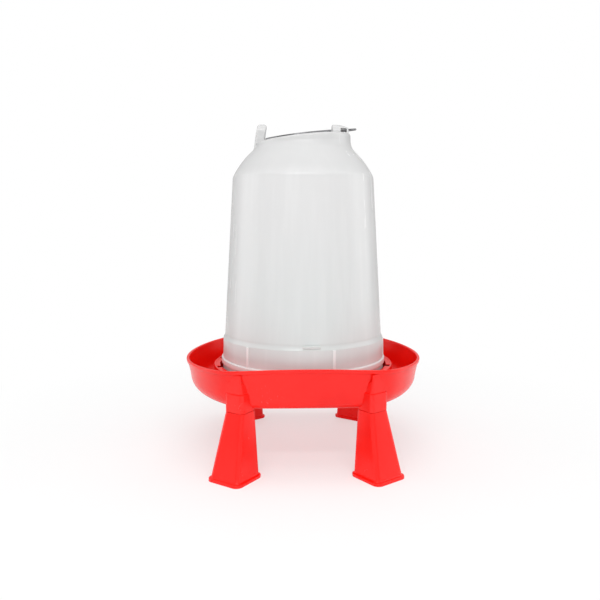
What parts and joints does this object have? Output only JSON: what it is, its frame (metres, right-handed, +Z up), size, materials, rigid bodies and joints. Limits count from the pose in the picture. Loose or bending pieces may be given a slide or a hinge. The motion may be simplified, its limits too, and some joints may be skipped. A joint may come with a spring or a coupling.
{
  "type": "poultry drinker",
  "caption": "Siphon poultry drinker: upturned tank with a wire bail, standing in a two-lobed pan on splayed push-fit legs.",
  "frame": {"origin": "on the ground, below the middle of the pan", "axes": "+Z up, +X to the right and -Y towards the front, as the picture shows it"},
  "size_m": [0.3122, 0.3034, 0.429],
  "materials": {
    "red_plastic": "glossy moulded",
    "milky_plastic": "satin translucent",
    "steel_wire": "drawn wire"
  },
  "bodies": {
    "base": {"base_pan": "red_plastic", "leg_front_left": "red_plastic", "leg_front_right": "red_plastic", "leg_back_left": "red_plastic", "leg_back_right": "red_plastic"},
    "tank_body": {"tank": "milky_plastic"},
    "bail": {"bail_handle": "steel_wire"}
  },
  "joints": [
    {"name": "tank_lift", "type": "slide", "parent": "base", "child": "tank_body", "axis": [0, 0, 1], "range_m": [0, 0.08]},
    {"name": "bail_swing", "type": "hinge", "parent": "tank_body", "child": "bail", "pos_m": [0, 0, 0.41482], "axis": [0.9925, 0, 0.1219], "range_deg": [0, 159]}
  ]
}
